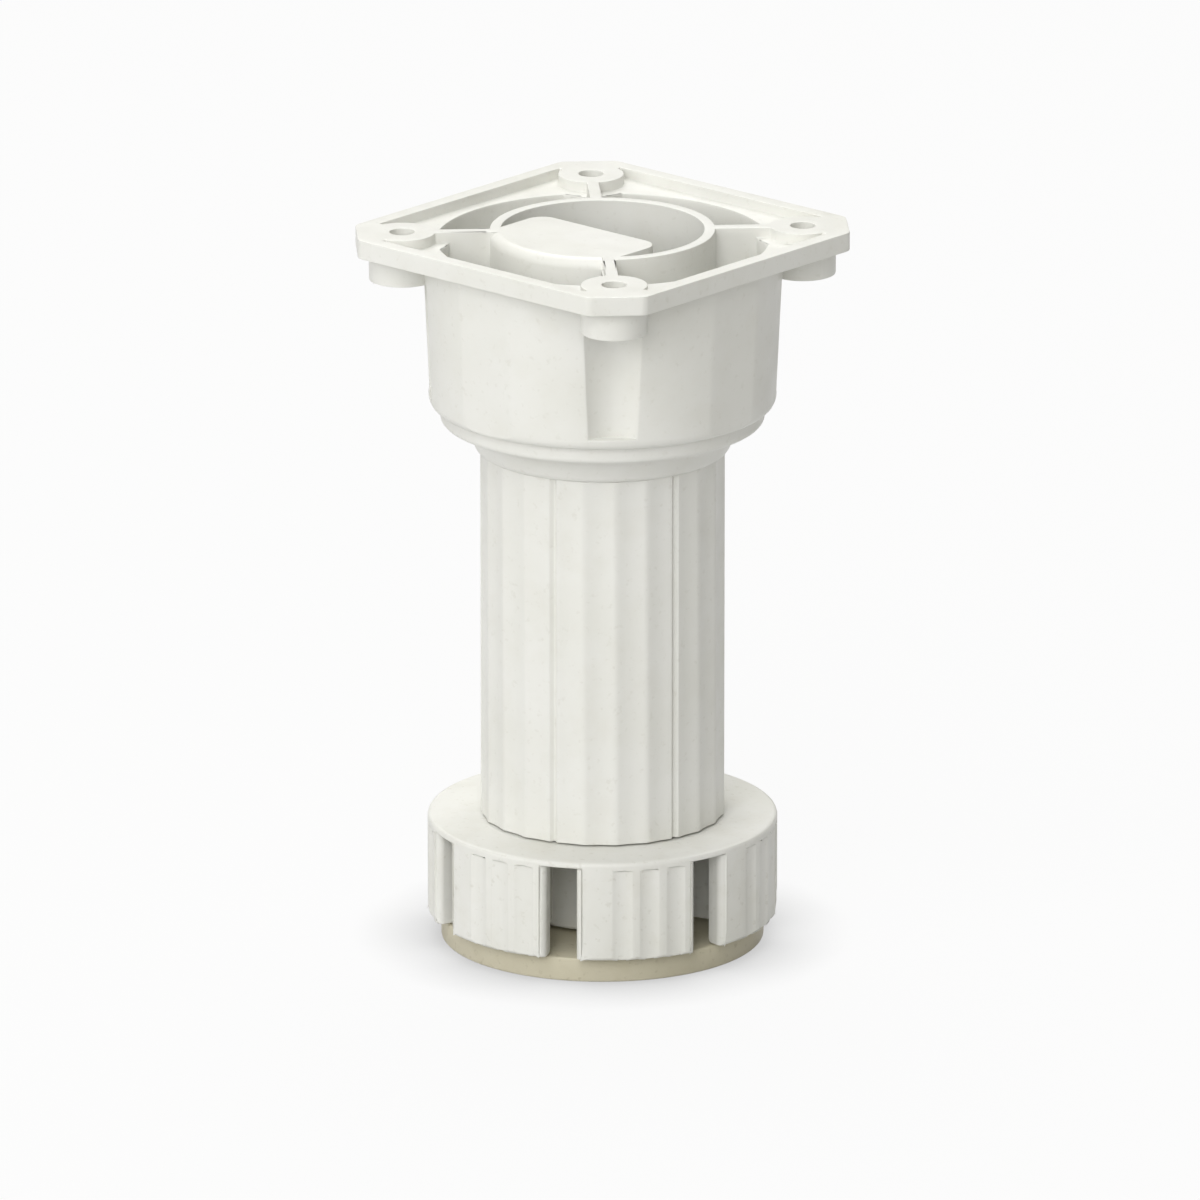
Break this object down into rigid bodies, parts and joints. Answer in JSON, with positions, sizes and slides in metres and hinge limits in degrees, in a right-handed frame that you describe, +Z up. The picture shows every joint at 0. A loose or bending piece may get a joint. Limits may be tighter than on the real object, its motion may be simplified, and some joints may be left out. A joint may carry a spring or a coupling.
{
  "type": "bed base leg",
  "caption": "Adjustable plastic leg with a square screw-on socket plate, a fluted tube and a slotted screw foot that raises or lowers the base it carries.",
  "frame": {"origin": "centre of the floor pad's underside, on the floor", "axes": "+Z up along the leg to the socket plate's top face, X and Y along the plate's sides, with the tongue over the bore on the -Y side"},
  "size_m": [0.063, 0.063, 0.12],
  "materials": {
    "socket_plastic": "off-white moulded plastic with a fine satin surface",
    "tube_plastic": "off-white moulded plastic with a fine satin surface",
    "foot_plastic": "off-white moulded plastic with a fine satin surface",
    "pad_plastic": "off-white moulded plastic, slightly duller from floor contact"
  },
  "bodies": {
    "leg": {"mounting_socket": "socket_plastic", "leg_tube": "tube_plastic"},
    "adjuster": {"adjuster_foot": "foot_plastic"},
    "pad": {"floor_pad": "pad_plastic"}
  },
  "joints": [
    {"name": "foot_travel", "type": "slide", "parent": "leg", "child": "pad", "axis": [0, 0, -1], "range_m": [0, 0.015]},
    {"name": "adjuster_turn", "type": "hinge", "parent": "pad", "child": "adjuster", "pos_m": [0, 0, 0], "axis": [0, 0, 1], "range_deg": [0, 1350]}
  ],
  "couplings": [
    {"joint": "foot_travel", "follows": "adjuster_turn", "m_per_rad": 0.00063662}
  ]
}
